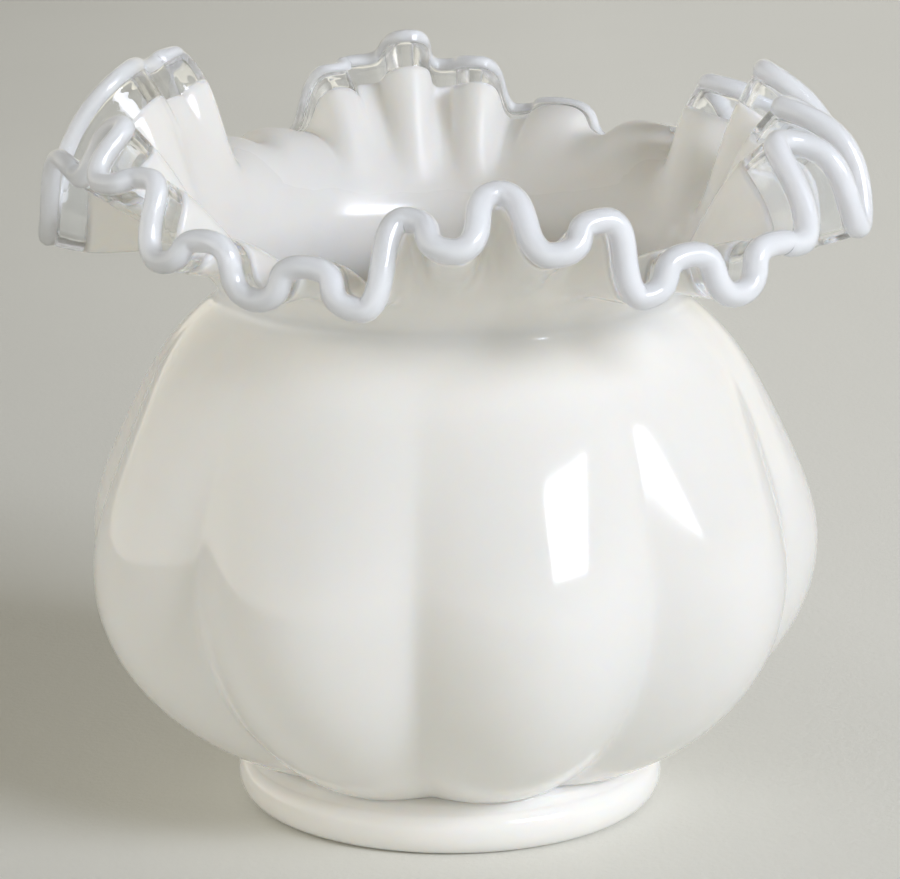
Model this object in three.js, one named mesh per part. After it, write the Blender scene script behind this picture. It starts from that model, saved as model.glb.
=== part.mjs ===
// A low melon-ribbed flower vase in white opal glass, with a round foot, a short neck and a wide mouth
// crimped into deep folds. Beyond the opal edge the mouth carries a band of clear glass, and the band
// carries a bead of white glass all round. Millimetres, +Z up. The foot stands at Z = 0, and the front of
// the vase faces -Y. An azimuth is measured round the bowl's axis, from the front towards +X, in degrees.
import * as THREE from 'three';

// Bowl
const BELLY_RADIUS = 72.3; // over the ribs, at the widest
const BELLY_HEIGHT = 50.5;
const SHOULDER_FLATNESS = 2.4; // midway up to the neck the ribs run this far inside a half-ellipse
const NECK_RADIUS = 43.7; // outside, where the lines of bowl and mouth would meet
const NECK_HEIGHT = 101;
const NECK_BEND = 4; // outside, the bend between them starts and ends this far from there
const INNER_BEND = 8; // and inside
const BOWL_WALL = 3.2;
const BASE_WALL = 5;
const RIB_COUNT = 9;
const RIB_AZIMUTH = 14.5; // crest of the first rib
const GROOVE_DEPTH = 6.9; // between the ribs, at its deepest
const GROOVE_HEIGHT = 36; // where the grooves are deepest
const GROOVE_TOP = 108; // where they would have faded out, had the bowl no neck
const GROOVE_AT_SEAT = 0.45; // share of that depth left at the foot
const GROOVE_SOFTNESS = 0.13; // 0 is a knife-edged groove

// Foot
const FOOT_RADIUS = 41.7;
const FOOT_HEIGHT = 8.35;
const FOOT_WIDEST = 5; // height at which the foot is widest
const FOOT_UNDERCUT = 4; // below there its side is drawn in by this much
const FOOT_SHOULDER = 2.6; // and above there by this much
const FOOT_WIDTH = 11.7; // from its bore to its outer edge
const STANDING_WIDTH = 4.4; // flat ring that touches the table
const SEAT_INSET = 5.7; // from the foot's outer edge in to the bowl's underside

// Mouth
const MOUTH_WALL = 2.6;
const THROAT_REACH = 6.5; // the mouth turns out this far beyond the neck
const THROAT_RISE = 12.5; // and this far above it
const RIM_RADIUS = 72; // datum for the folds
const RIM_HEIGHT = 125;
const FOLD_DEPTH = 10; // the folds below are given in shares of this depth
const FOLD_START = 0.3; // share of the way up the mouth where the folds begin
const FOLD_STEEPNESS = 0.75; // 0 is a plain wave, 1 has upright sides
const FOLD_ARCH = 0.05; // how far a fold's side bulges outwards and up

// Edge glass
const BAND_WIDTH = 4.3; // clear glass between the opal edge and the bead
const BEAD_RADIUS = 2.3;
const GLASS_GAP = 0.4; // left between neighbouring gathers of glass

// The folds of the bead, as the crimping left them: trough and crest in turn, each with its azimuth, its
// radius beyond RIM_RADIUS and its height above RIM_HEIGHT, both in shares of FOLD_DEPTH. A fourth value
// arches the side that follows.
const FOLDS = [
  [0.5, 0.6, -0.05],
  [7, -0.3, 0.8],
  [13, 0.65, -0.15],
  [21, 0.35, 0.35],
  [26, 0.5, -1.05],
  [33.5, 0.45, -0.4],
  [40.5, 0.65, -1.2],
  [48, 0.55, -0.45],
  [54.5, 0.6, -0.55],
  [62, -0.4, 1.05, 0.15],
  [71.5, 0.8, -0.65, 0.15],
  [79, -0.85, 1.35],
  [87, -0.05, 0.75],
  [96, -1.15, 1.75],
  [106, -0.2, 0.6],
  [118, -1.4, 1.15],
  [128, -0.3, -0.3],
  [139, -0.5, -0.2],
  [150, -0.3, -0.65],
  [160.5, -0.4, 0.1],
  [169, 0, -0.15],
  [174.5, -1, 0.97],
  [181.5, -0.2, 0.78],
  [188, -1.1, 1.53],
  [195, -0.4, 0.95],
  [202.5, -0.7, 0.85],
  [207.5, -0.05, -0.55],
  [215, 0.1, -0.62],
  [222.5, -0.15, -1.2],
  [230, 0.2, -0.85],
  [236, -0.1, -1.1],
  [243.5, -1.2, 1.73],
  [253, -1.05, 1.57],
  [262, -1.05, 1.73, 0.08],
  [280, 0.45, -1.1, 0.15],
  [285.5, 0.27, 0.5],
  [291, 0.1, 0.26],
  [299, -0.4, 1.35],
  [305, 0.45, 0.5],
  [312, 0, 0.65],
  [318.5, 0.55, -0.65],
  [325, 0.3, -0.2],
  [333, 0.3, -1.15],
  [340, 0.2, -0.5],
  [348.5, 0.5, -1.15],
  [353.5, -0.2, 0.35],
];

// Behind the bowl the mouth's wall rises more steeply from the neck. Each lift has the azimuth of its
// middle, how far it reaches to either side, and how much higher the point is that the wall's curve heads
// for.
const WALL_LIFTS = [
  [142, 38, 16],
  [228, 50, 20],
];

// Fineness of the facets
const RIB_STEPS = 8; // columns across a rib
const BOWL_ROWS = 9;
const BEND_ROWS = 3;
const FOLD_STEPS = 4; // columns from a trough to the next crest
const MOUTH_STATIONS = [0, 0.25, 0.45, 0.62, 0.78, 0.9, 1]; // shares of the way up from the bend
const BEAD_SIDES = 8;
const FOOT_COLUMNS = 72;
const FOOT_ARC_STEPS = 8;

const FULL_TURN = 360;
const HALF_TURN = 180;
const DIFFERENCE = 0.02; // step of place or share over which a slope is measured
const SEAT_HEIGHT = FOOT_HEIGHT + GLASS_GAP;
const SEAT_RADIUS = FOOT_RADIUS - SEAT_INSET;
const BOWL_COLUMNS = RIB_COUNT * RIB_STEPS;

function pointAt(azimuth, radius, height) {
  const angle = THREE.MathUtils.degToRad(azimuth);
  return new THREE.Vector3(radius * Math.sin(angle), -radius * Math.cos(angle), height);
}

// A row of points round the vase. turns holds each point's place round the axis, in rising order.
function makeRow(points, turns) {
  return { points, turns };
}

// Joins rows of points, each to the next, into one skin. A row of one point closes the skin as a pole.
// With loop set, the last row also joins the first, and that strip's diagonals lean the other way: they
// then lie along those of the neighbouring glass, so twisted strips that face each other keep their gap.
function skinOf(rows, loop) {
  const positions = [];
  const starts = [];
  for (const row of rows) {
    starts.push(positions.length / 3);
    for (const point of row.points) positions.push(point.x, point.y, point.z);
  }
  const faces = [];
  const joins = loop ? rows.length : rows.length - 1;
  for (let k = 0; k < joins; k += 1) {
    const next = (k + 1) % rows.length;
    joinRows(faces, rows[k], starts[k], rows[next], starts[next], next === 0);
  }
  const geometry = new THREE.BufferGeometry();
  geometry.setAttribute('position', new THREE.Float32BufferAttribute(positions, 3));
  geometry.setIndex(faces);
  geometry.computeVertexNormals();
  return geometry;
}

// Walks two rows side by side and always steps along the one that lags, so rows of unlike counts join too.
function joinRows(faces, lower, lowerStart, upper, upperStart, leanBack) {
  const lowerCount = lower.points.length;
  const upperCount = upper.points.length;
  const lowerSteps = lowerCount > 1 ? lowerCount : 0;
  const upperSteps = upperCount > 1 ? upperCount : 0;
  const turnOf = (row, i) => row.turns[i % row.turns.length] + Math.floor(i / row.turns.length);
  const halfway = (row, i, steps) => (i < steps ? turnOf(row, i) + turnOf(row, i + 1) : Infinity);
  let i = 0;
  let j = 0;
  while (i < lowerSteps || j < upperSteps) {
    const a = lowerStart + (i % lowerCount);
    const b = upperStart + (j % upperCount);
    const lag = halfway(upper, j, upperSteps) - halfway(lower, i, lowerSteps);
    if (leanBack ? lag > 0 : lag >= 0) {
      faces.push(a, lowerStart + ((i + 1) % lowerCount), b);
      i += 1;
    } else {
      faces.push(a, upperStart + ((j + 1) % upperCount), b);
      j += 1;
    }
  }
}

function meshOf(name, geometry, material) {
  const mesh = new THREE.Mesh(geometry, material);
  mesh.name = name;
  return mesh;
}

// Bowl

// Height of a half-ellipse that leaves the belly upright and passes a point at this radius and rise.
function ellipseHeight(radius, rise) {
  return rise / Math.sqrt(1 - (radius / BELLY_RADIUS) ** 2);
}

const CROWN_HEIGHT = ellipseHeight(NECK_RADIUS, NECK_HEIGHT - BELLY_HEIGHT);
const KEEL_HEIGHT = ellipseHeight(SEAT_RADIUS, BELLY_HEIGHT - SEAT_HEIGHT);

// 1 on a rib's crest, 0 in the groove.
function ribShape(azimuth) {
  const angle = THREE.MathUtils.degToRad((RIB_COUNT * (azimuth - RIB_AZIMUTH)) / 2);
  const soft = GROOVE_SOFTNESS;
  return (Math.hypot(Math.cos(angle), soft) - soft) / (Math.hypot(1, soft) - soft);
}

// The grooves fade out below the neck and keep a share of their depth at the seat.
function grooveDepth(height) {
  if (height > GROOVE_HEIGHT) {
    return GROOVE_DEPTH * (1 - THREE.MathUtils.smoothstep(height, GROOVE_HEIGHT, GROOVE_TOP));
  }
  const down = Math.min((GROOVE_HEIGHT - height) / (GROOVE_HEIGHT - SEAT_HEIGHT), 1);
  return GROOVE_DEPTH * Math.cos(Math.acos(GROOVE_AT_SEAT) * down ** 2);
}

// How far inside the half-ellipse the ribs run at a height.
function flatness(height) {
  const rise = THREE.MathUtils.clamp((height - BELLY_HEIGHT) / (NECK_HEIGHT - BELLY_HEIGHT), 0, 1);
  return SHOULDER_FLATNESS * Math.sin(Math.PI * rise) ** 2;
}

// Point of the bowl at an angle along its two half-ellipses, inset from the outer skin.
function bowlPoint(azimuth, along, inset) {
  const halfHeight = (along > 0 ? CROWN_HEIGHT : KEEL_HEIGHT) - inset;
  const height = BELLY_HEIGHT + halfHeight * Math.sin(along);
  const crest = (BELLY_RADIUS - inset) * Math.cos(along) - flatness(height);
  return pointAt(azimuth, crest - grooveDepth(height) * (1 - ribShape(azimuth)), height);
}

// A column runs down the middle of every rib and of every groove.
function bowlRow(along, inset) {
  const width = FULL_TURN / BOWL_COLUMNS;
  const points = [];
  const turns = [];
  for (let k = 0; k < BOWL_COLUMNS; k += 1) {
    const azimuth = (RIB_AZIMUTH % width) + k * width;
    points.push(bowlPoint(azimuth, along, inset));
    turns.push(azimuth / FULL_TURN);
  }
  return makeRow(points, turns);
}

// Rows from the lowest up to the last before the highest, where the bend begins.
function bowlRows(lowest, highest, inset) {
  const rows = [];
  for (let k = 0; k < BOWL_ROWS; k += 1) {
    rows.push(bowlRow(lowest + ((highest - lowest) * k) / BOWL_ROWS, inset));
  }
  return rows;
}

// Mouth

const COLUMN_COUNT = FOLDS.length * FOLD_STEPS;

// Azimuth, radius and height of a fold's turning point, counted on past the full turn either way.
function turningPoint(index) {
  const round = Math.floor(index / FOLDS.length);
  const [azimuth, out, up] = FOLDS[index - round * FOLDS.length];
  const radius = RIM_RADIUS + FOLD_DEPTH * out;
  return new THREE.Vector3(azimuth + FULL_TURN * round, radius, RIM_HEIGHT + FOLD_DEPTH * up);
}

// The mouth without its folds runs midway between the crests and the troughs.
function middlePoint(index) {
  const before = turningPoint(index - 1);
  const after = turningPoint(index + 1);
  return turningPoint(index).multiplyScalar(2).add(before).add(after).divideScalar(4);
}

function middleLine(place) {
  const index = Math.floor(place);
  const s = place - index;
  const [a, b, c, d] = [-1, 0, 1, 2].map((step) => middlePoint(index + step));
  // Uniform Catmull-Rom spline through b and c.
  return new THREE.Vector3()
    .addScaledVector(a, (-s + 2 * s ** 2 - s ** 3) / 2)
    .addScaledVector(b, (2 - 5 * s ** 2 + 3 * s ** 3) / 2)
    .addScaledVector(c, (s + 4 * s ** 2 - 3 * s ** 3) / 2)
    .addScaledVector(d, (-(s ** 2) + s ** 3) / 2);
}

// The bead's line, from turning point to turning point, as azimuth, radius and height.
function foldLine(place) {
  const index = Math.floor(place);
  const s = place - index;
  const a = turningPoint(index);
  const b = turningPoint(index + 1);
  const ease = (share) => (1 - Math.cos(Math.PI * share)) / 2;
  const row = ((index % FOLDS.length) + FOLDS.length) % FOLDS.length;
  const falling = row % 2 === 1 ? 1 : -1;
  const arch = (FOLDS[row][3] ?? FOLD_ARCH) * Math.sin(Math.PI * s) * falling;
  const sideways = s + (FOLD_STEEPNESS * Math.sin(2 * Math.PI * s)) / (2 * Math.PI);
  return new THREE.Vector3(
    a.x + (b.x - a.x) * sideways,
    a.y + (b.y - a.y) * ease(s + arch),
    a.z + (b.z - a.z) * ease(s - arch),
  );
}

// Middle of the mouth's wall where it leaves the neck, and the point that its curve there heads for, each
// as radius and height.
const THROAT = new THREE.Vector2(THROAT_REACH, THROAT_RISE);
const NECK_MIDDLE = new THREE.Vector2(-THROAT_RISE, THROAT_REACH)
  .setLength(MOUTH_WALL / 2)
  .add(new THREE.Vector2(NECK_RADIUS, NECK_HEIGHT));
const THROAT_MIDDLE = NECK_MIDDLE.clone().add(THROAT);

// How much the lifts raise the wall's curve at an azimuth.
function wallLift(azimuth) {
  let total = 0;
  for (const [centre, reach, lift] of WALL_LIFTS) {
    const turned = THREE.MathUtils.euclideanModulo(azimuth - centre + HALF_TURN, FULL_TURN) - HALF_TURN;
    total += (lift * (1 + Math.cos(Math.PI * Math.min(Math.abs(turned) / reach, 1)))) / 2;
  }
  return total;
}

// Middle of the mouth's wall: place counts turning points round the mouth, and share runs from the neck,
// 0, to the bead's line, 1.
function mouthPoint(place, share) {
  const middle = middleLine(place);
  const fold = foldLine(place).sub(middle);
  const depth = THREE.MathUtils.smoothstep(share, FOLD_START, 1);
  const low = (1 - share) ** 2;
  const turn = 2 * share * (1 - share);
  const high = share ** 2;
  const radius = low * NECK_MIDDLE.x + turn * THROAT_MIDDLE.x + high * middle.y;
  const height = low * NECK_MIDDLE.y + turn * (THROAT_MIDDLE.y + wallLift(middle.x)) + high * middle.z;
  return pointAt(middle.x + depth * fold.x, radius + depth * fold.y, height + depth * fold.z);
}

// Unit vectors up the mouth and out of its upper side, square to the folds, and the width of one share.
function mouthFrame(place, share) {
  const up = mouthPoint(place, share + DIFFERENCE).sub(mouthPoint(place, share - DIFFERENCE));
  const round = mouthPoint(place + DIFFERENCE, share).sub(mouthPoint(place - DIFFERENCE, share));
  round.normalize();
  const normal = up.cross(round);
  const pace = normal.length() / (2 * DIFFERENCE);
  normal.normalize();
  return { up: round.cross(normal), normal, pace };
}

// Shares of the mouth where the clear band ends and starts and where the opal glass ends, each a width
// further from the bead's line.
function glassShares(place) {
  const below = (share, width) => {
    const halfway = share - width / 2 / mouthFrame(place, share).pace;
    return share - width / mouthFrame(place, halfway).pace;
  };
  const bandEnd = below(1, BEAD_RADIUS + GLASS_GAP);
  const bandStart = below(bandEnd, BAND_WIDTH);
  return { bandEnd, bandStart, opalEdge: below(bandStart, GLASS_GAP) };
}

// Row of the mouth, offset from the middle of its wall along the wall's normal.
function mouthRow(shareAt, offset) {
  const points = [];
  const turns = [];
  for (let k = 0; k < COLUMN_COUNT; k += 1) {
    const place = k / FOLD_STEPS;
    const share = shareAt(place);
    const { normal } = mouthFrame(place, share);
    points.push(mouthPoint(place, share).addScaledVector(normal, offset));
    turns.push(middleLine(place).x / FULL_TURN);
  }
  return makeRow(points, turns);
}

const opal = new THREE.MeshStandardMaterial({ color: 0xf2efe9, roughness: 0.12, metalness: 0 });
const clear = new THREE.MeshStandardMaterial({ color: 0xe6eae8, roughness: 0.03, metalness: 0 });
clear.transparent = true;
clear.opacity = 0.35;
const bead = new THREE.MeshStandardMaterial({ color: 0xf6f5f1, roughness: 0.08, metalness: 0 });

// The neck's corner and the place where a bend of some length leaves the bowl, as angles along the bowl's
// upper half-ellipse.
const NECK_ALONG = Math.asin((NECK_HEIGHT - BELLY_HEIGHT) / CROWN_HEIGHT);
const NECK_PACE = Math.hypot(BELLY_RADIUS * Math.sin(NECK_ALONG), CROWN_HEIGHT * Math.cos(NECK_ALONG));
const bendAlong = (bend) => NECK_ALONG - bend / NECK_PACE;

// One side of the wall from the bowl round the bend and up the mouth to the opal edge.
function mouthSide(inset, offset, bendLength) {
  const bendShare = (place) => bendLength / mouthFrame(place, 0).pace;
  const stations = MOUTH_STATIONS.map((part) => mouthRow((place) => {
    const start = bendShare(place);
    return start + part * (glassShares(place).opalEdge - start);
  }, offset));
  const [{ points: ends, turns }] = stations;
  const bend = [];
  for (let k = 0; k < BEND_ROWS; k += 1) {
    const t = k / BEND_ROWS;
    const points = ends.map((end, column) => {
      const azimuth = FULL_TURN * turns[column];
      const start = bowlPoint(azimuth, bendAlong(bendLength), inset).multiplyScalar((1 - t) ** 2);
      const corner = bowlPoint(azimuth, NECK_ALONG, inset).multiplyScalar(2 * t * (1 - t));
      return start.add(corner).addScaledVector(end, t ** 2);
    });
    bend.push(makeRow(points, turns));
  }
  return [...bend, ...stations];
}

// Bowl, neck and mouth are blown from one gather: one skin, from the middle of the underside up the
// outside, over the opal edge and down the inside.
function opalBody() {
  const seat = -Math.asin((BELLY_HEIGHT - SEAT_HEIGHT) / KEEL_HEIGHT);
  const floorHeight = SEAT_HEIGHT + BASE_WALL;
  const floor = -Math.asin((BELLY_HEIGHT - floorHeight) / (KEEL_HEIGHT - BOWL_WALL));
  const half = MOUTH_WALL / 2;
  const outside = [...bowlRows(seat, bendAlong(NECK_BEND), 0), ...mouthSide(0, -half, NECK_BEND)];
  const inside = [
    ...bowlRows(floor, bendAlong(INNER_BEND), BOWL_WALL),
    ...mouthSide(BOWL_WALL, half, INNER_BEND),
  ];
  const pole = (height) => makeRow([new THREE.Vector3(0, 0, height)], [0]);
  const rows = [pole(SEAT_HEIGHT), ...outside, ...inside.reverse(), pole(floorHeight)];
  return meshOf('opal_body', skinOf(rows, false), opal);
}

// The clear band follows the folds between the opal edge and the bead.
function clearCrest() {
  const half = MOUTH_WALL / 2;
  const rowAt = (part, offset) => mouthRow((place) => {
    const { bandStart, bandEnd } = glassShares(place);
    return bandStart + part * (bandEnd - bandStart);
  }, offset);
  const under = [0, 0.5, 1].map((part) => rowAt(part, -half));
  const upper = [0, 0.5, 1].map((part) => rowAt(part, half));
  return meshOf('clear_crest', skinOf([...under, ...upper.reverse()], true), clear);
}

// The bead is a round thread of white glass laid along the line of the folds.
function edgeBead() {
  const rows = [];
  for (let side = 0; side < BEAD_SIDES; side += 1) {
    const angle = (-2 * Math.PI * (side + 0.5)) / BEAD_SIDES;
    const points = [];
    const turns = [];
    for (let k = 0; k < COLUMN_COUNT; k += 1) {
      const place = k / FOLD_STEPS;
      const { normal, up } = mouthFrame(place, 1);
      const point = mouthPoint(place, 1);
      point.addScaledVector(up, -BEAD_RADIUS * Math.cos(angle));
      point.addScaledVector(normal, BEAD_RADIUS * Math.sin(angle));
      points.push(point);
      turns.push(k / COLUMN_COUNT);
    }
    rows.push(makeRow(points, turns));
  }
  return meshOf('opal_edge', skinOf(rows, true), bead);
}

// Foot

// The foot's section is a ring with a flat standing face, a flat seat and an outer side of two quarters of
// ellipses, which meet where the foot is widest.
function footRing() {
  const bore = FOOT_RADIUS - FOOT_WIDTH;
  const standing = FOOT_RADIUS - FOOT_UNDERCUT - STANDING_WIDTH;
  const profile = [new THREE.Vector2(standing, 0)];
  for (let k = 0; k <= FOOT_ARC_STEPS; k += 1) {
    const angle = -Math.PI / 2 + (Math.PI * k) / FOOT_ARC_STEPS;
    const drawnIn = (angle < 0 ? FOOT_UNDERCUT : FOOT_SHOULDER) * (1 - Math.cos(angle));
    const reach = angle < 0 ? FOOT_WIDEST : FOOT_HEIGHT - FOOT_WIDEST;
    profile.push(new THREE.Vector2(FOOT_RADIUS - drawnIn, FOOT_WIDEST + reach * Math.sin(angle)));
  }
  profile.push(new THREE.Vector2(bore, FOOT_HEIGHT));
  profile.push(new THREE.Vector2(standing, 0));
  const geometry = new THREE.LatheGeometry(profile, FOOT_COLUMNS);
  geometry.rotateX(Math.PI / 2);
  return meshOf('foot_ring', geometry, opal);
}

const vase = new THREE.Group();
vase.add(opalBody(), clearCrest(), edgeBead(), footRing());

// The folds reach out unevenly, so the vase is moved until the origin lies under the middle of its box.
const middle = new THREE.Box3().setFromObject(vase).getCenter(new THREE.Vector3());
vase.position.set(-middle.x, -middle.y, 0);

export default vase;
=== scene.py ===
import math

import bpy
import numpy as np
from mathutils import Euler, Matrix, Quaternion, Vector


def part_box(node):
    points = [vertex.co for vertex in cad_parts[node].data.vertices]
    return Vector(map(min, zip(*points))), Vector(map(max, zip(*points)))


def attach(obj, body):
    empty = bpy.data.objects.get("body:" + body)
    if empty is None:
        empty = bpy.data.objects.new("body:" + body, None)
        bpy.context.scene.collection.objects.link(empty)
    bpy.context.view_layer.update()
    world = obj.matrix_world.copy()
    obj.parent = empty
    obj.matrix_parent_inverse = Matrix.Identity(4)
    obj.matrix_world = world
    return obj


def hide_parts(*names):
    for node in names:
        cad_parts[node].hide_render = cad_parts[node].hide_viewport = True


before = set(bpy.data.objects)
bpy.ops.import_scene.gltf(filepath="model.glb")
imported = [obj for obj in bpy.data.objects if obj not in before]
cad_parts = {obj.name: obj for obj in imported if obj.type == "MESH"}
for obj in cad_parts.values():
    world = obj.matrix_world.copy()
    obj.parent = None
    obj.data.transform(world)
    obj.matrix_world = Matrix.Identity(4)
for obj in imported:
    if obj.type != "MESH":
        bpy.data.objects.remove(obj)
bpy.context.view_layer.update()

MM = 0.001
FULL_TURN = 360

# Bowl
BELLY_RADIUS = 72.3
BELLY_HEIGHT = 50.5
SHOULDER_FLATNESS = 2.4
NECK_RADIUS = 43.7
NECK_HEIGHT = 101
NECK_BEND = 4 # length on either side of the neck that its bend takes outside
INNER_BEND = 8 # and inside
BOWL_WALL = 3.2
BASE_WALL = 5
FLOOR_SOFTNESS = 2.5 # how softly the bowl's inside runs out into its floor
SMOOTH_FLOOR_RADIUS = 12 # the grooves end here, on their way to the middle of the floor
FLOOR_GROOVE_REACH = 24 # and fade out over this length
RIB_COUNT = 9
RIB_AZIMUTH = 14.5 # middle of one rib
GROOVE_DEPTH = 6.9
GROOVE_HEIGHT = 36 # where the grooves are deepest
GROOVE_TOP = 108 # where they have faded out
GROOVE_AT_SEAT = 0.45 # share of their depth that is left at the seat
GROOVE_SOFTNESS = 0.13 # how round their bottoms are

# Foot
FOOT_RADIUS = 41.7
FOOT_HEIGHT = 8.35
FOOT_WIDEST = 5
FOOT_UNDERCUT = 4 # how far the foot draws in from its widest down to the table
FOOT_SHOULDER = 2.6 # and up to its top
FOOT_WIDTH = 11.7 # from its outer edge to its bore
STANDING_WIDTH = 4.4
SEAT_INSET = 5.7 # from its outer edge in to the seat of the bowl

# Mouth
MOUTH_WALL = 2.6
LIP_BULGE = 0.8 # height of the opal edge's rounding as a share of half the wall
THROAT_REACH = 6.5 # from the neck out to the point that the mouth's curve bends towards
THROAT_RISE = 12.5 # and up to it
RIM_RADIUS = 72
RIM_HEIGHT = 125
FOLD_DEPTH = 10
FOLD_START = 0.3 # share of the mouth's height where the folds begin
FOLD_STEEPNESS = 0.75 # how steep their sides are, where 0 is a plain wave
FOLD_ARCH = 0.05 # how far their sides are arched

# Edge glass
BEAD_RADIUS = 2.3
BEAD_THICKEST = 30 # the azimuth where the bead has its full radius
BEAD_THINNING = 0.17 # half the share of its radius that the bead loses on the far side
GLASS_GAP = 0.4

# Width of the clear band between the bead and the opal glass: azimuth and width.
BAND_WIDTHS = [
    [-40, 4.4],
    [-20, 3.4],
    [0, 2.4],
    [25, 2.4],
    [45, 4.2],
    [70, 5.6],
    [95, 5.6],
    [125, 4.2],
    [160, 1.9],
    [175, 3.4],
    [190, 5.2],
    [215, 4.6],
    [250, 6.0],
    [290, 5.4],
]

SEAT_HEIGHT = FOOT_HEIGHT + GLASS_GAP
SEAT_RADIUS = FOOT_RADIUS - SEAT_INSET

# The folds of the bead, trough and crest in turn: azimuth, radius beyond RIM_RADIUS and height above
# RIM_HEIGHT in shares of FOLD_DEPTH, and how far the side that follows is arched, if not by FOLD_ARCH.
FOLDS = [
    [0.5, 0.6, -0.05],
    [7, -0.3, 0.8],
    [13, 0.65, -0.15],
    [21, 0.35, 0.35],
    [26, 0.5, -1.05],
    [33.5, 0.45, -0.4],
    [40.5, 0.65, -1.2],
    [48, 0.55, -0.45],
    [54.5, 0.6, -0.55],
    [62, -0.4, 1.05, 0.15],
    [71.5, 0.8, -0.65, 0.15],
    [79, -0.85, 1.35],
    [87, -0.05, 0.75],
    [96, -1.15, 1.75],
    [106, -0.2, 0.6],
    [118, -1.4, 1.15],
    [128, -0.3, -0.3],
    [139, -0.5, -0.2],
    [150, -0.3, -0.65],
    [160.5, -0.4, 0.1],
    [169, 0, -0.15],
    [174.5, -1, 0.97],
    [181.5, -0.2, 0.78],
    [188, -1.1, 1.53],
    [195, -0.4, 0.95],
    [202.5, -0.7, 0.85],
    [207.5, -0.05, -0.55],
    [215, 0.1, -0.62],
    [222.5, -0.15, -1.2],
    [230, 0.2, -0.85],
    [236, -0.1, -1.1],
    [243.5, -1.2, 1.73],
    [253, -1.05, 1.57],
    [262, -1.05, 1.73, 0.08],
    [280, 0.45, -1.1, 0.15],
    [285.5, 0.27, 0.5],
    [291, 0.1, 0.26],
    [299, -0.4, 1.35],
    [305, 0.45, 0.5],
    [312, 0, 0.65],
    [318.5, 0.55, -0.65],
    [325, 0.3, -0.2],
    [333, 0.3, -1.15],
    [340, 0.2, -0.5],
    [348.5, 0.5, -1.15],
    [353.5, -0.2, 0.35],
]

# Where the mouth's wall rises more steeply: azimuth, reach to either side, lift of the wall's curve.
WALL_LIFTS = [
    [142, 38, 16],
    [228, 50, 20],
]

# Fineness
BODY_COLUMNS = 720
EDGE_COLUMNS = 1100
FOOT_COLUMNS = 360
BOWL_ROWS = 56
BEND_ROWS = 12
MOUTH_ROWS = 34
PLACE_STEPS = 64 # steps from one turning point to the next in which even places are looked for
DIFFERENCE = 0.02 # step over which a slope is measured, in shares and places

foot_low, foot_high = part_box("foot_ring")
AXIS = Vector(((foot_low.x + foot_high.x) / 2, (foot_low.y + foot_high.y) / 2, 0))


# Meshes

def around(azimuth, radius, height):
    """Points round the axis, in millimetres, as an array of x, y and z."""
    angle = np.radians(azimuth)
    heights = np.broadcast_to(height, angle.shape)
    return np.stack([radius * np.sin(angle), -radius * np.cos(angle), heights], axis=-1)


def unit(vectors):
    return vectors / np.linalg.norm(vectors, axis=-1, keepdims=True)


def make_piece(name, points, faces, material, node):
    mesh = bpy.data.meshes.new(name)
    mesh.from_pydata((np.asarray(points) * MM + np.array(AXIS)).tolist(), [], faces)
    mesh.validate()
    mesh.update()
    mesh.shade_smooth()
    mesh.materials.append(material)
    piece = bpy.data.objects.new(name, mesh)
    bpy.context.scene.collection.objects.link(piece)
    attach(piece, "root")
    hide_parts(node)


def skin(rows, loop=False, first_pole=None, last_pole=None):
    """Points and faces of rows of equally many points, each row joined to the next and round itself."""
    rows = [np.asarray(row) for row in rows]
    columns = len(rows[0])
    points = np.concatenate(rows)
    count = len(rows)
    faces = []
    along = np.arange(columns)
    beside = (along + 1) % columns
    for row in range(count if loop else count - 1):
        low = row * columns
        high = ((row + 1) % count) * columns
        quads = np.stack([low + along, low + beside, high + beside, high + along], axis=1)
        faces.extend(quads.tolist())
    if first_pole is not None:
        pole = len(points)
        points = np.concatenate([points, [first_pole]])
        faces.extend([[pole, int(other), int(one)] for one, other in zip(along, beside)])
    if last_pole is not None:
        pole = len(points)
        last = (count - 1) * columns
        points = np.concatenate([points, [last_pole]])
        faces.extend([[last + int(one), last + int(other), pole] for one, other in zip(along, beside)])
    return points, faces


def quadratic(start, control, end, count):
    """Rows along a quadratic curve, without its start."""
    rows = []
    for step in range(1, count + 1):
        share = step / count
        rows.append((1 - share) ** 2 * start + 2 * share * (1 - share) * control + share ** 2 * end)
    return rows


def smooth_step(value, low, high):
    share = np.clip((value - low) / (high - low), 0, 1)
    return share ** 2 * (3 - 2 * share)


LEAST_WEIGHT = 0.6


def wander(azimuth, seed, waves):
    """A smooth random line round the vase between about -1 and 1, made of whole waves per turn."""
    chance = np.random.default_rng(seed)
    total = np.zeros_like(azimuth)
    for wave in waves:
        phase = chance.uniform(0, 2 * math.pi)
        weight = chance.uniform(LEAST_WEIGHT, 1)
        total += weight * np.sin(np.radians(azimuth) * wave + phase)
    return total / len(waves)


# Bowl

def ellipse_height(radius, rise):
    return rise / math.sqrt(1 - (radius / BELLY_RADIUS) ** 2)


CROWN_HEIGHT = ellipse_height(NECK_RADIUS, NECK_HEIGHT - BELLY_HEIGHT)
KEEL_HEIGHT = ellipse_height(SEAT_RADIUS, BELLY_HEIGHT - SEAT_HEIGHT)
NECK_ALONG = math.asin((NECK_HEIGHT - BELLY_HEIGHT) / CROWN_HEIGHT)
NECK_PACE = math.hypot(BELLY_RADIUS * math.sin(NECK_ALONG), CROWN_HEIGHT * math.cos(NECK_ALONG))
SEAT_ALONG = -math.asin((BELLY_HEIGHT - SEAT_HEIGHT) / KEEL_HEIGHT)
FLOOR_HEIGHT = SEAT_HEIGHT + BASE_WALL


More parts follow.
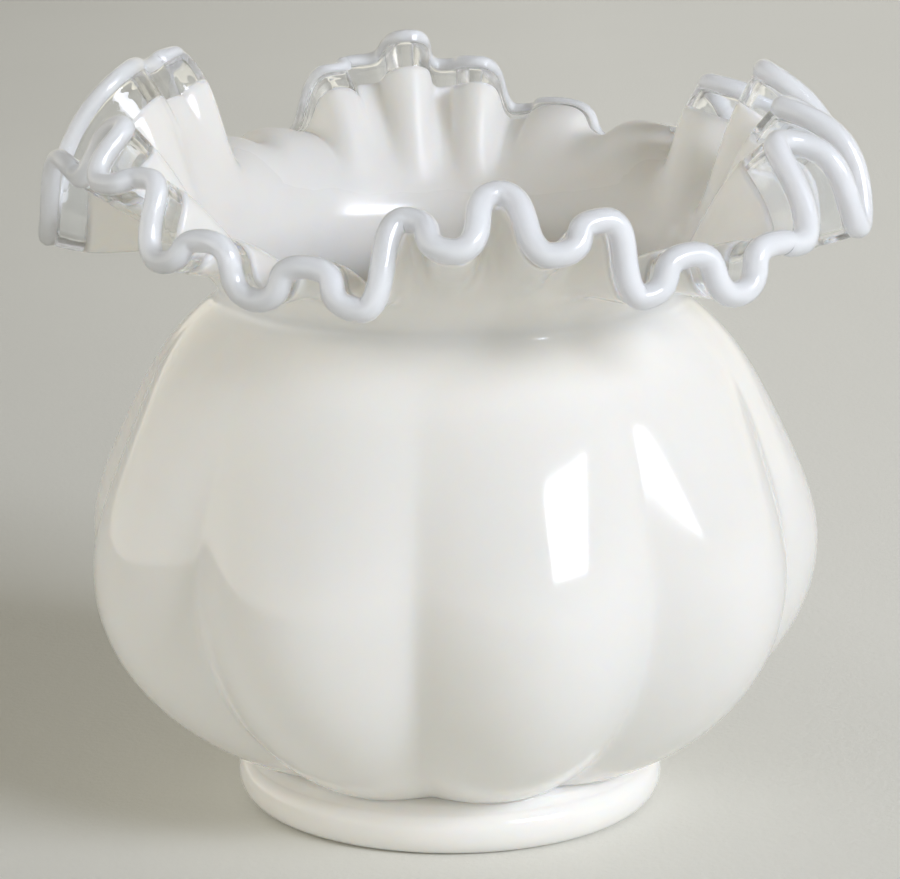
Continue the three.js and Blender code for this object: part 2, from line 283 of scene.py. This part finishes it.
def rib_shape(azimuth):
    """1 over the middle of a rib and 0 at the bottom of a groove."""
    angle = np.radians(RIB_COUNT * (azimuth - RIB_AZIMUTH) / 2)
    soft = GROOVE_SOFTNESS
    return (np.hypot(np.cos(angle), soft) - soft) / (math.hypot(1, soft) - soft)


def groove_depth(height):
    if height > GROOVE_HEIGHT:
        return GROOVE_DEPTH * (1 - smooth_step(height, GROOVE_HEIGHT, GROOVE_TOP))
    down = min((GROOVE_HEIGHT - height) / (GROOVE_HEIGHT - SEAT_HEIGHT), 1)
    return GROOVE_DEPTH * math.cos(math.acos(GROOVE_AT_SEAT) * down ** 2)


def flatness(height):
    """How far inside its half-ellipse the bowl runs at a height."""
    rise = min(max((height - BELLY_HEIGHT) / (NECK_HEIGHT - BELLY_HEIGHT), 0), 1)
    return SHOULDER_FLATNESS * math.sin(math.pi * rise) ** 2


def bowl_section(along, inset):
    """Radius over the ribs and height of the bowl's skin."""
    height = BELLY_HEIGHT + ((CROWN_HEIGHT if along > 0 else KEEL_HEIGHT) - inset) * math.sin(along)
    return (BELLY_RADIUS - inset) * math.cos(along) - flatness(height), height


def bowl_row(azimuth, along, inset):
    """Points round the bowl's skin, ribs and grooves and all."""
    crest, height = bowl_section(along, inset)
    return around(azimuth, crest - groove_depth(height) * (1 - rib_shape(azimuth)), height)


# Mouth

ROWS = np.array([(row + [FOLD_ARCH])[:4] for row in FOLDS], dtype=float)


def turning_point(index):
    """Azimuth, radius and height of a turning point; the index goes on from turn to turn."""
    round_count, row = np.divmod(index, len(FOLDS))
    azimuth = ROWS[row, 0] + FULL_TURN * round_count
    radius = RIM_RADIUS + FOLD_DEPTH * ROWS[row, 1]
    return np.stack([azimuth, radius, RIM_HEIGHT + FOLD_DEPTH * ROWS[row, 2]], axis=-1)


def middle_point(index):
    """A turning point averaged with its neighbours, which takes the fold out of it."""
    return (turning_point(index - 1) + 2 * turning_point(index) + turning_point(index + 1)) / 4


def middle_line(place):
    """The mouth without its folds, as azimuth, radius and height."""
    index = np.floor(place).astype(int)
    part = (place - index)[:, None]
    before, start, end, after = (middle_point(index + step) for step in (-1, 0, 1, 2))
    return (
        before * (-part + 2 * part ** 2 - part ** 3)
        + start * (2 - 5 * part ** 2 + 3 * part ** 3)
        + end * (part + 4 * part ** 2 - 3 * part ** 3)
        + after * (-(part ** 2) + part ** 3)
    ) / 2


def ease(share):
    return (1 - np.cos(np.pi * share)) / 2


def fold_line(place):
    """The bead's line, as azimuth, radius and height."""
    index = np.floor(place).astype(int)
    part = place - index
    start = turning_point(index)
    end = turning_point(index + 1)
    row = index % len(FOLDS)
    falling = np.where(row % 2 == 1, 1, -1)
    arch = ROWS[row, 3] * np.sin(np.pi * part) * falling
    sideways = part + FOLD_STEEPNESS * np.sin(2 * np.pi * part) / (2 * np.pi)
    shares = np.stack([sideways, ease(part + arch), ease(part - arch)], axis=-1)
    return start + (end - start) * shares


def neck_middle():
    side = np.array([-THROAT_RISE, THROAT_REACH])
    return np.array([NECK_RADIUS, NECK_HEIGHT]) + side * (MOUTH_WALL / 2) / np.hypot(*side)


NECK_MIDDLE = neck_middle()
THROAT_MIDDLE = NECK_MIDDLE + np.array([THROAT_REACH, THROAT_RISE])


def wall_lift(azimuth):
    """How much the lifts raise the wall's curve at an azimuth."""
    total = 0
    for centre, reach, lift in WALL_LIFTS:
        turned = (azimuth - centre + FULL_TURN / 2) % FULL_TURN - FULL_TURN / 2
        total = total + lift * (1 + np.cos(np.pi * np.minimum(np.abs(turned) / reach, 1))) / 2
    return total


def mouth_point(place, share):
    """Middle of the mouth's wall: share runs from the neck, 0, to the bead's line, 1."""
    middle = middle_line(place)
    fold = fold_line(place) - middle
    depth = smooth_step(share, FOLD_START, 1)
    low, turn, high = (1 - share) ** 2, 2 * share * (1 - share), share ** 2
    radius = low * NECK_MIDDLE[0] + turn * THROAT_MIDDLE[0] + high * middle[:, 1]
    throat_height = THROAT_MIDDLE[1] + wall_lift(middle[:, 0])
    height = low * NECK_MIDDLE[1] + turn * throat_height + high * middle[:, 2]
    azimuth = middle[:, 0] + depth * fold[:, 0]
    return around(azimuth, radius + depth * fold[:, 1], height + depth * fold[:, 2])


def mouth_frame(place, share):
    """Unit vectors up the mouth and out of its upper side, and the width of one share."""
    up = mouth_point(place, share + DIFFERENCE) - mouth_point(place, share - DIFFERENCE)
    onward = unit(mouth_point(place + DIFFERENCE, share) - mouth_point(place - DIFFERENCE, share))
    normal = np.cross(up, onward)
    pace = np.linalg.norm(normal, axis=-1) / (2 * DIFFERENCE)
    normal = unit(normal)
    return np.cross(onward, normal), normal, pace


def bead_radius(azimuth):
    return BEAD_RADIUS * (1 - BEAD_THINNING * (1 - np.cos(np.radians(azimuth - BEAD_THICKEST))))


def band_width(azimuth):
    """Width of the clear band, which runs smoothly through its named widths."""
    table = np.array(BAND_WIDTHS, dtype=float)
    turned = (azimuth - table[0, 0]) % FULL_TURN + table[0, 0]
    nodes = np.append(table[:, 0], table[0, 0] + FULL_TURN)
    widths = np.append(table[:, 1], table[0, 1])
    last = np.clip(np.searchsorted(nodes, turned, side="right") - 1, 0, len(table) - 1)
    share = ease((turned - nodes[last]) / (nodes[last + 1] - nodes[last]))
    return widths[last] + (widths[last + 1] - widths[last]) * share


def edge_width(azimuth):
    """How far the opal glass ends below the middle of the bead."""
    return bead_radius(azimuth) + band_width(azimuth) + 2 * GLASS_GAP


def bead_share(place, azimuth):
    """Share of the mouth at the bead's middle: a thin bead lies higher, so that its top stays in place."""
    rise = BEAD_RADIUS - bead_radius(azimuth)
    return 1 + rise / mouth_frame(place, np.ones_like(place))[2]


def share_below(place, azimuth, width, steps=12):
    """Share of the mouth that lies a width, measured down the wall, below the bead's middle."""
    share = bead_share(place, azimuth)
    for _ in range(steps):
        share = share - width / steps / mouth_frame(place, share)[2]
    return share


def mouth_row(place, share, offset):
    normal = mouth_frame(place, share)[1]
    return mouth_point(place, share) + normal * np.reshape(offset, (-1, 1))


def even_places(count):
    """Places round the mouth whose middle line turns by equal azimuths, and those azimuths."""
    fine = np.linspace(0, len(FOLDS), len(FOLDS) * PLACE_STEPS + 1)
    turns = middle_line(fine)[:, 0]
    azimuth = turns[0] + FULL_TURN * np.arange(count) / count
    return np.interp(azimuth, turns, fine), azimuth


MOUTH_SHARES = np.linspace(0, 1, MOUTH_ROWS)
EDGE_WANDER = 0.35 # how far the opal edge strays up and down
LIP_ROWS = 7


def bowl_side(azimuth, lowest, highest, inset):
    """Rows of the bowl's skin, up to the last before the highest."""
    steps = np.linspace(lowest, highest, BOWL_ROWS, endpoint=False)
    return [bowl_row(azimuth, along, inset) for along in steps]


def wall_side(place, azimuth, edge, inset, offset, bend_length):
    """One side of the wall from the bowl round the bend and up the mouth to the opal edge."""
    start = bend_length / mouth_frame(place, np.zeros_like(place))[2]
    rows = [mouth_row(place, start + part * (edge - start), offset) for part in MOUTH_SHARES]
    along = NECK_ALONG - bend_length / NECK_PACE
    low = bowl_row(azimuth, along, inset)
    painted_rise = unit(bowl_row(azimuth, along + DIFFERENCE, inset) - low)
    flaring = unit(mouth_row(place, start + DIFFERENCE, offset) - rows[0])
    reach = 2 / 3 * bend_length
    bend = []
    for part in np.linspace(0, 1, BEND_ROWS, endpoint=False):
        bend.append(
            (1 - part) ** 3 * low
            + 3 * part * (1 - part) ** 2 * (low + reach * painted_rise)
            + 3 * part ** 2 * (1 - part) * (rows[0] - reach * flaring)
            + part ** 3 * rows[0]
        )
    return bend + rows


def inner_floor(along):
    """Radius, height and depth of the grooves of the bowl's inside, which levels out into a flat floor."""
    crest, height = bowl_section(along, BOWL_WALL)
    lift = FLOOR_HEIGHT - height
    level = height + (lift + math.hypot(lift, FLOOR_SOFTNESS)) / 2
    fade = min(max((crest - SMOOTH_FLOOR_RADIUS) / FLOOR_GROOVE_REACH, 0), 1) ** 2
    return crest, level, groove_depth(level) * fade


def opal_body(material):
    place, azimuth = even_places(BODY_COLUMNS)
    stray = EDGE_WANDER * wander(azimuth, seed=5, waves=[3, 7, 12, 19, 31])
    edge = share_below(place, azimuth, edge_width(azimuth) + stray)
    half = MOUTH_WALL / 2
    outside = bowl_side(azimuth, SEAT_ALONG, NECK_ALONG - NECK_BEND / NECK_PACE, 0)
    outside += wall_side(place, azimuth, edge, 0, -half, NECK_BEND)
    inside = []
    highest = NECK_ALONG - INNER_BEND / NECK_PACE
    for along in np.linspace(-math.pi / 2, highest, BOWL_ROWS, endpoint=False)[1:]:
        crest, height, depth = inner_floor(along)
        inside.append(around(azimuth, crest - depth * (1 - rib_shape(azimuth)), height))
    inside += wall_side(place, azimuth, edge, BOWL_WALL, half, INNER_BEND)
    lip = []
    up, normal, _ = mouth_frame(place, edge)
    top = mouth_point(place, edge)
    for row in range(1, LIP_ROWS):
        angle = -math.pi / 2 + math.pi * row / LIP_ROWS
        lip.append(top + up * half * LIP_BULGE * math.cos(angle) + normal * half * math.sin(angle))
    rows = outside + lip + inside[::-1]
    points, faces = skin(rows, first_pole=(0, 0, SEAT_HEIGHT), last_pole=(0, 0, FLOOR_HEIGHT))
    make_piece("opal_vase_body", points, faces, material, "opal_body")


# Clear band and bead

BAND_INSET = 0.1 # how much thinner the clear glass is than the opal wall, on either side
BAND_HALF = MOUTH_WALL / 2 - BAND_INSET
BAND_RIPPLE = 0.03 # how much the clear glass swells and thins, as a share
BAND_ROOT = 3 # how far the clear glass reaches down inside the opal wall
ROOT_HALF = 0.75 # half the clear glass's thickness inside the opal wall
BAND_STEPS = 26
CAP_ROWS = 13
CORE_SIDES = 22
CORE_SHARE = 0.88 # the white core's radius as a share of the bead's
CORE_SWELL = 0.09 # how much the core swells and thins, as a share
CORE_LIFT = 0.05 # how far the core's middle lies above the bead's
JOINT_SOFTNESS = 0.45 # how softly the bead runs out into the clear band
JOINT_REACH = 1.5 # how far beyond the bead's radius that goes on


def band_half(below, bead, edge):
    """Half the thickness of the clear glass at a distance below the bead's middle."""
    tube = np.sqrt(np.maximum(bead ** 2 - below ** 2, 0))
    joined = (BAND_HALF + tube + np.hypot(BAND_HALF - tube, JOINT_SOFTNESS)) / 2
    joined = np.where(below < bead + JOINT_REACH, joined, BAND_HALF)
    sunk = np.clip((below - edge + GLASS_GAP) / (2 * GLASS_GAP), 0, 1)
    return joined + (ROOT_HALF - joined) * sunk


def clear_glass(material):
    """The clear band together with the bead's clear skin, as one closed ring."""
    place, azimuth = even_places(EDGE_COLUMNS)
    ripple = 1 + BAND_RIPPLE * wander(azimuth, seed=11, waves=[9, 17, 26, 41])
    bead = bead_radius(azimuth)
    edge = edge_width(azimuth)
    start = bead_share(place, azimuth)
    share = start
    pace = (edge + BAND_ROOT) / BAND_STEPS
    under, upper = [], []
    for step in range(BAND_STEPS + 1):
        if step:
            share = share - pace / mouth_frame(place, share)[2]
        half = band_half(step * pace, bead, edge) * ripple
        upper.append(mouth_row(place, share, half))
        under.append(mouth_row(place, share, -half))
    up, normal, _ = mouth_frame(place, start)
    top = mouth_point(place, start)
    cap = []
    radius = (bead * ripple)[:, None]
    for row in range(1, CAP_ROWS):
        angle = -math.pi / 2 + math.pi * row / CAP_ROWS
        cap.append(top + (up * math.cos(angle) + normal * math.sin(angle)) * radius)
    points, faces = skin(under[::-1] + cap + upper, loop=True)
    make_piece("clear_glass_band", points, faces, material, "clear_crest")


def bead_core(material):
    """The white glass inside the bead's clear skin."""
    place, azimuth = even_places(EDGE_COLUMNS)
    swell = 1 + CORE_SWELL * wander(azimuth, seed=23, waves=[5, 11, 19, 28, 43])
    start = bead_share(place, azimuth)
    up, normal, _ = mouth_frame(place, start)
    centre = mouth_point(place, start) + up * CORE_LIFT
    reach = (CORE_SHARE * bead_radius(azimuth) * swell)[:, None]
    rows = []
    for side in range(CORE_SIDES):
        angle = -2 * math.pi * side / CORE_SIDES
        rows.append(centre + (-up * math.cos(angle) + normal * math.sin(angle)) * reach)
    points, faces = skin(rows, loop=True)
    make_piece("white_bead", points, faces, material, "opal_edge")


# Foot

FOOT_CREASE = math.radians(72) # where the shoulder's rounding ends at the crease under the collar
COLLAR_INSET = 3.3 # from the foot's outer edge in to the collar's waist
COLLAR_HEIGHT = 9.5
COLLAR_PULL = 2.5 # how far in from the outer edge the curve from the crease to the waist is drawn
FILLET_RISE = 2 # how far above the seat the collar's fillet meets the bowl
FILLET_PULL_RISE = 0.45 # the fillet's curve bends towards a point this far above the waist
FILLET_PULL_INSET = 0.8 # and this far inside the bowl's skin
BOWL_BITE = 1.2 # how far the foot's glass reaches into the bowl's
BORE_RISE = 2.5 # how far above the foot's height its glass reaches into the bowl's base
BORE_FLARE = 1.5 # how far out from the bore that glass is still this high
RECESS_DROP = 1 # how far below the foot's height the bore starts to open
RECESS_FLARE = 0.5 # how much it has opened at the height of RECESS_KNEE
RECESS_KNEE = 4
FLAT_MARGIN = 0.6 # a row this far in from either edge keeps the standing ring flat
SHOULDER_ROWS = 26
COLLAR_ROWS = 8
FILLET_ROWS = 10

# Rounding of the standing ring's inner edge: distance out from that edge, and height.
INNER_ROUNDING = [
    (-0.75, 0.9),
    (-0.45, 0.3),
    (0, 0.05),
]


def foot(material):
    azimuth = FULL_TURN * np.arange(FOOT_COLUMNS) / FOOT_COLUMNS
    bore = FOOT_RADIUS - FOOT_WIDTH
    edge = FOOT_RADIUS - FOOT_UNDERCUT
    standing = edge - STANDING_WIDTH
    underside = [
        (bore, FOOT_HEIGHT + BORE_RISE),
        (bore, FOOT_HEIGHT - RECESS_DROP),
        (bore + RECESS_FLARE, RECESS_KNEE),
    ]
    underside += [(standing + out, height) for out, height in INNER_ROUNDING]
    underside += [(standing + FLAT_MARGIN, 0), (edge - FLAT_MARGIN, 0)]
    rows = [around(azimuth, radius, height) for radius, height in underside]
    for angle in np.linspace(-math.pi / 2, FOOT_CREASE, SHOULDER_ROWS):
        drawn_in = (FOOT_UNDERCUT if angle < 0 else FOOT_SHOULDER) * (1 - math.cos(angle))
        reach = FOOT_WIDEST if angle < 0 else FOOT_HEIGHT - FOOT_WIDEST
        rows.append(around(azimuth, FOOT_RADIUS - drawn_in, FOOT_WIDEST + reach * math.sin(angle)))
    crease = rows[-1]
    waist = around(azimuth, FOOT_RADIUS - COLLAR_INSET, COLLAR_HEIGHT)
    pull = around(azimuth, FOOT_RADIUS - COLLAR_PULL, FOOT_HEIGHT)
    rows += quadratic(crease, (crease + 2 * pull) / 3, waist, COLLAR_ROWS)
    along = -math.asin((BELLY_HEIGHT - SEAT_HEIGHT - FILLET_RISE) / KEEL_HEIGHT)
    end = bowl_row(azimuth, along, 0)
    pull_along = -math.asin((BELLY_HEIGHT - COLLAR_HEIGHT - FILLET_PULL_RISE) / KEEL_HEIGHT)
    pull = bowl_row(azimuth, pull_along, FILLET_PULL_INSET)
    rows += quadratic(waist, pull, end, FILLET_ROWS)
    rows.append(bowl_row(azimuth, along, BOWL_BITE))
    rows.append(around(azimuth, bore + BORE_FLARE, FOOT_HEIGHT + BORE_RISE))
    points, faces = skin(rows, loop=True)
    make_piece("opal_foot", points, faces, material, "foot_ring")


# Materials

def node_tree(name):
    material = bpy.data.materials.new(name)
    material.use_nodes = True
    tree = material.node_tree
    tree.nodes.clear()
    return material, tree


def add(tree, kind, **values):
    """A node with its properties set."""
    node = tree.nodes.new(kind)
    for key, value in values.items():
        setattr(node, key, value)
    return node


def feed(tree, node, sockets):
    """Sets a node's sockets, given by label or number, to values or links them to other nodes' sockets."""
    for key, value in sockets.items():
        socket = node.inputs[key]
        if isinstance(value, bpy.types.NodeSocket):
            tree.links.new(value, socket)
        else:
            socket.default_value = value


def noise(tree, where, scale, detail, roughness):
    node = add(tree, "ShaderNodeTexNoise")
    feed(tree, node, {"Vector": where, "Scale": scale, "Detail": detail, "Roughness": roughness})
    return node.outputs["Fac"]


def ramp(tree, value, stops):
    node = add(tree, "ShaderNodeValToRGB")
    tree.links.new(value, node.inputs["Fac"])
    elements = node.color_ramp.elements
    while len(elements) < len(stops):
        elements.new(0.5)
    for element, (position, colour) in zip(elements, stops):
        element.position = position
        element.color = (*colour, 1)
    return node.outputs["Color"]


def spread(tree, value, low, high, to_low, to_high):
    """A value carried from one range to another, and held at its ends."""
    node = add(tree, "ShaderNodeMapRange")
    feed(tree, node, {0: value, 1: low, 2: high, 3: to_low, 4: to_high})
    return node.outputs[0]


def math_node(tree, operation, first, second):
    node = add(tree, "ShaderNodeMath", operation=operation)
    feed(tree, node, {0: first, 1: second})
    return node.outputs[0]


def axis_part(tree, where, axis):
    node = add(tree, "ShaderNodeSeparateXYZ")
    tree.links.new(where, node.inputs[0])
    return node.outputs[axis]


GLASS_IOR = 1.5
SHEEN = (0.09, 0.14) # least and greatest roughness of the opal glass
DULLING = 0.3 # roughness added to the folds on the far side of the mouth
DULL_BEHIND = (0.02, 0.05) # how far behind the frame's origin the dulling starts and is full
DULL_ABOVE = (0.106, 0.116) # and how far above the table
FINE_DIMPLE = 0.12 # depth of the fine dimples as a share of the broad ones'


def glossy_opal(name, warm, cool, subsurface, radius, scale, dimple):
    material, tree = node_tree(name)
    where = add(tree, "ShaderNodeTexCoord").outputs["Object"]
    cloud = noise(tree, where, scale=22, detail=4, roughness=0.55)
    colour = ramp(tree, cloud, [(0.35, warm), (0.65, cool)])
    smear = noise(tree, where, scale=60, detail=3, roughness=0.6)
    sheen = spread(tree, smear, low=0.3, high=0.7, to_low=SHEEN[0], to_high=SHEEN[1])
    behind = spread(tree, axis_part(tree, where, "Y"), *DULL_BEHIND, to_low=0.0, to_high=DULLING)
    above = spread(tree, axis_part(tree, where, "Z"), *DULL_ABOVE, to_low=0.0, to_high=1.0)
    rough = math_node(tree, "ADD", sheen, math_node(tree, "MULTIPLY", behind, above))
    swell = add(tree, "ShaderNodeBump")
    broad = noise(tree, where, scale=55, detail=1.5, roughness=0.4)
    feed(tree, swell, {"Strength": 1.0, "Distance": dimple, "Height": broad})
    fine = add(tree, "ShaderNodeBump")
    feed(tree, fine, {
        "Strength": 1.0,
        "Distance": dimple * FINE_DIMPLE,
        "Height": noise(tree, where, scale=420, detail=2, roughness=0.5),
        "Normal": swell.outputs[0],
    })
    shader = add(tree, "ShaderNodeBsdfPrincipled")
    shader.subsurface_method = "RANDOM_WALK"
    feed(tree, shader, {
        "Base Color": colour,
        "Roughness": rough,
        "IOR": GLASS_IOR,
        "Subsurface Weight": subsurface,
        "Subsurface Radius": radius,
        "Subsurface Scale": scale,
        "Normal": fine.outputs[0],
    })
    output = add(tree, "ShaderNodeOutputMaterial")
    tree.links.new(shader.outputs[0], output.inputs["Surface"])
    return material


CLEARNESS = 0.12 # share of the light that passes the clear glass without being bent
CLEAR_COLOUR = (0.965, 0.98, 1.0, 1)
CLEAR_THROUGH = (0.985, 0.985, 0.985, 1) # what its skins let straight through, shadow rays too
CLEAR_DIMPLE = 0.00012


def clear(name):
    material, tree = node_tree(name)
    where = add(tree, "ShaderNodeTexCoord").outputs["Object"]
    bump = add(tree, "ShaderNodeBump")
    wave = noise(tree, where, scale=190, detail=2.5, roughness=0.5)
    feed(tree, bump, {"Strength": 1.0, "Distance": CLEAR_DIMPLE, "Height": wave})
    shader = add(tree, "ShaderNodeBsdfPrincipled")
    feed(tree, shader, {
        "Base Color": CLEAR_COLOUR,
        "Roughness": 0.0,
        "IOR": GLASS_IOR,
        "Transmission Weight": 1.0,
        "Normal": bump.outputs[0],
    })
    through = add(tree, "ShaderNodeBsdfTransparent")
    feed(tree, through, {"Color": CLEAR_THROUGH})
    paths = add(tree, "ShaderNodeLightPath")
    mix = add(tree, "ShaderNodeMixShader")
    feed(tree, mix, {0: paths.outputs["Is Shadow Ray"], 1: shader.outputs[0], 2: through.outputs[0]})
    soft = add(tree, "ShaderNodeMixShader")
    feed(tree, soft, {0: CLEARNESS, 1: mix.outputs[0], 2: through.outputs[0]})
    output = add(tree, "ShaderNodeOutputMaterial")
    tree.links.new(soft.outputs[0], output.inputs["Surface"])
    return material


opal = glossy_opal(
    "opal_glass",
    warm=(0.90, 0.885, 0.855),
    cool=(0.925, 0.915, 0.89),
    subsurface=0.8,
    radius=(1.0, 0.86, 0.72),
    scale=0.0035,
    dimple=0.00011,
)
bead = glossy_opal(
    "bead_glass",
    warm=(0.925, 0.915, 0.915),
    cool=(0.945, 0.935, 0.935),
    subsurface=1.0,
    radius=(1.0, 0.95, 0.95),
    scale=0.011,
    dimple=0.00004,
)
opal_body(opal)
foot(opal)
clear_glass(clear("clear_glass"))
bead_core(bead)


# Studio

FLOOR_HALF = 4.0
FLOOR_ROUGHNESS = 0.75
FLOOR_BUMP = 0.0002
FLOOR_TINTS = [(0.3, (0.785, 0.78, 0.722)), (0.7, (0.81, 0.805, 0.747))]

# Painted light on the backdrop: a glow that the camera and reflections see but that lights nothing, standing
# in for how the backdrop is lit. It rises from nothing on the left to its full amount on the right, and
# towards the back. Its ranges are measured from the frame's origin.
PAINTED_LIGHT_STRENGTH = 0.135
PAINTED_LIGHT_COLOUR = (1, 1, 0.97, 1)
PAINTED_LIGHT_SLANT = 0.55 # what a metre towards the back counts for, next to one towards the right
PAINTED_LIGHT_RISE = (-0.08, 0.16)
PAINTED_LIGHT_FADE = (-0.26, 0.06) # towards the right alone


def floor_material():
    material, tree = node_tree("backdrop_paper_and_painted_light")
    where = add(tree, "ShaderNodeTexCoord").outputs["Object"]
    tint = ramp(tree, noise(tree, where, scale=4, detail=3, roughness=0.5), FLOOR_TINTS)
    bump = add(tree, "ShaderNodeBump")
    grain = noise(tree, where, scale=700, detail=4, roughness=0.6)
    feed(tree, bump, {"Strength": 1.0, "Distance": FLOOR_BUMP, "Height": grain})
    shader = add(tree, "ShaderNodeBsdfPrincipled")
    feed(tree, shader, {"Base Color": tint, "Roughness": FLOOR_ROUGHNESS, "Normal": bump.outputs[0]})
    paths = add(tree, "ShaderNodeLightPath").outputs
    seen = math_node(tree, "ADD", paths["Is Camera Ray"], paths["Is Glossy Ray"])
    seen = math_node(tree, "ADD", seen, paths["Is Transmission Ray"])
    seen = math_node(tree, "MINIMUM", seen, 1.0)
    sideways = axis_part(tree, where, "X")
    away = math_node(tree, "MULTIPLY", axis_part(tree, where, "Y"), PAINTED_LIGHT_SLANT)
    slanted = math_node(tree, "ADD", sideways, away)
    painted_rise = spread(tree, slanted, *PAINTED_LIGHT_RISE, to_low=0.0, to_high=PAINTED_LIGHT_STRENGTH)
    painted_fade = spread(tree, sideways, *PAINTED_LIGHT_FADE, to_low=0.0, to_high=1.0)
    painted_light = math_node(tree, "MULTIPLY", painted_rise, painted_fade)
    # painted light: an emission glow on the floor, brighter to the right and towards the back, that lights
    # nothing
    painted_glow = add(tree, "ShaderNodeEmission")
    feed(tree, painted_glow, {"Color": PAINTED_LIGHT_COLOUR, "Strength": math_node(tree, "MULTIPLY", painted_light, seen)})
    both = add(tree, "ShaderNodeAddShader")
    feed(tree, both, {0: shader.outputs[0], 1: painted_glow.outputs[0]})
    output = add(tree, "ShaderNodeOutputMaterial")
    tree.links.new(both.outputs[0], output.inputs["Surface"])
    return material


def studio_floor():
    signs = [(-1, -1), (1, -1), (1, 1), (-1, 1)]
    corners = [(right * FLOOR_HALF, back * FLOOR_HALF, 0) for right, back in signs]
    mesh = bpy.data.meshes.new("studio_floor")
    mesh.from_pydata(corners, [], [(0, 1, 2, 3)])
    mesh.materials.append(floor_material())
    floor = bpy.data.objects.new("studio_floor", mesh)
    bpy.context.scene.collection.objects.link(floor)


def direction(azimuth, elevation):
    turn, rise = math.radians(azimuth), math.radians(elevation)
    return Vector((math.sin(turn) * math.cos(rise), -math.cos(turn) * math.cos(rise), math.sin(rise)))


LAMP_TARGET = 0.075 # height of the vase's middle
LAMP_ENERGY = 4 # what a lamp needs for each square metre and unit of radiance


def soft_box(name, azimuth, elevation, distance, width, height, roll, radiance, colour):
    """A rectangular lamp that faces the middle of the vase from a direction and shines with a radiance."""
    away = direction(azimuth, elevation)
    lamp = bpy.data.lights.new(name, "AREA")
    lamp.shape = "RECTANGLE"
    lamp.size = width
    lamp.size_y = height
    lamp.energy = radiance * LAMP_ENERGY * width * height
    lamp.color = colour
    item = bpy.data.objects.new(name, lamp)
    item.location = AXIS + Vector((0, 0, LAMP_TARGET)) + away * distance
    turn = Quaternion(away, math.radians(roll))
    item.rotation_euler = (turn @ (-away).to_track_quat("-Z", "Y")).to_euler()
    bpy.context.scene.collection.objects.link(item)


ROOM_COLOUR = (1.0, 0.955, 0.82, 1)
ROOM_LEVEL = 1.04 # at the horizon
OVERHEAD_LEVEL = 0.19
OVERHEAD = 0.6 # sine of the elevation at which the room's light has fallen to its level overhead
CARD_COLOUR = (0.97, 0.97, 1.0, 1)


def lobe(tree, where, azimuth, elevation, inner, outer, level):
    """Light from round a direction: the level within the inner angle, fading to nothing at the outer."""
    node = add(tree, "ShaderNodeVectorMath", operation="DOT_PRODUCT")
    feed(tree, node, {0: where, 1: direction(azimuth, elevation)})
    fade = add(tree, "ShaderNodeMapRange", interpolation_type="SMOOTHSTEP")
    feed(tree, fade, {
        0: node.outputs["Value"],
        1: math.cos(math.radians(outer)),
        2: math.cos(math.radians(inner)),
        3: 0.0,
        4: level,
    })
    return fade.outputs[0]


def glow(tree, colour, level):
    background = add(tree, "ShaderNodeBackground")
    feed(tree, background, {"Color": colour, "Strength": level})
    return background.outputs[0]


def world_light():
    """Warm light from the walls of a room, dim overhead, and a white card on the left."""
    world = bpy.data.worlds.new("studio")
    bpy.context.scene.world = world
    world.use_nodes = True
    tree = world.node_tree
    tree.nodes.clear()
    where = add(tree, "ShaderNodeTexCoord").outputs["Generated"]
    height = axis_part(tree, where, "Z")
    walls = spread(tree, height, low=0.0, high=OVERHEAD, to_low=ROOM_LEVEL, to_high=OVERHEAD_LEVEL)
    card = lobe(tree, where, azimuth=-90, elevation=5, inner=10, outer=50, level=0.84)
    both = add(tree, "ShaderNodeAddShader")
    feed(tree, both, {0: glow(tree, ROOM_COLOUR, walls), 1: glow(tree, CARD_COLOUR, card)})
    output = add(tree, "ShaderNodeOutputWorld")
    tree.links.new(both.outputs[0], output.inputs["Surface"])


PHOTO_WIDTH = 900 # pixels
PHOTO_FOCAL_LENGTH = 4038 # pixels
CAMERA_DISTANCE = 761 # in front of the axis
CAMERA_HEIGHT = 264.6
CAMERA_PITCH = 0.2488 # radians below the level
SENSOR_WIDTH = 36
FARTHEST = 100 # how far the camera sees, in metres


def photo_camera():
    lens = bpy.data.cameras.new("camera")
    lens.sensor_width = SENSOR_WIDTH
    lens.lens = PHOTO_FOCAL_LENGTH / PHOTO_WIDTH * SENSOR_WIDTH
    lens.clip_end = FARTHEST
    camera = bpy.data.objects.new("camera", lens)
    camera.location = AXIS + Vector((0, -CAMERA_DISTANCE, CAMERA_HEIGHT)) * MM
    camera.rotation_euler = Euler((math.pi / 2 - CAMERA_PITCH, 0, 0))
    bpy.context.scene.collection.objects.link(camera)
    bpy.context.scene.camera = camera


studio_floor()
soft_box(
    "key",
    azimuth=51.3,
    elevation=27.0,
    distance=6.0,
    width=2.79,
    height=1.5,
    roll=-10.6,
    radiance=13.5,
    colour=(0.84, 0.88, 1.0),
)
world_light()
photo_camera()
bpy.context.scene.view_settings.view_transform = "Standard"
